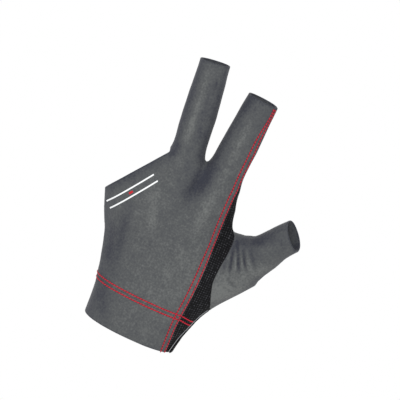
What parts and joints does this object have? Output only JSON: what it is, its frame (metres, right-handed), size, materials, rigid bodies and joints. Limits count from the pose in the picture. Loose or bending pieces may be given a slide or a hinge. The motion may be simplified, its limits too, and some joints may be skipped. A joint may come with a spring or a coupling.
{
  "type": "billiard glove",
  "caption": "Stretch cloth glove for the bridge hand at billiards, open at its fingertips and along its outer hem, with a mesh side panel, a wrist band and contrast stitching.",
  "frame": {"origin": "centre of the wrist's opening, in the plane of its rim", "axes": "+Z from the wrist towards the fingertips, -Y out of the back of the hand, +X towards the thumb"},
  "size_m": [0.1419, 0.0466, 0.2008],
  "materials": {
    "grey_cloth": "matt grey stretch knit with a fine even grain",
    "black_mesh": "matt black open mesh knit",
    "black_binding": "matt black folded elastic binding",
    "red_thread": "red polyester sewing thread with a slight sheen"
  },
  "bodies": {
    "root": {"back_panel": "grey_cloth", "palm_panel": "grey_cloth", "thumb_sleeve": "grey_cloth", "mesh_gusset": "black_mesh", "wrist_cuff": "grey_cloth", "edge_binding": "black_binding"}
  },
  "joints": []
}
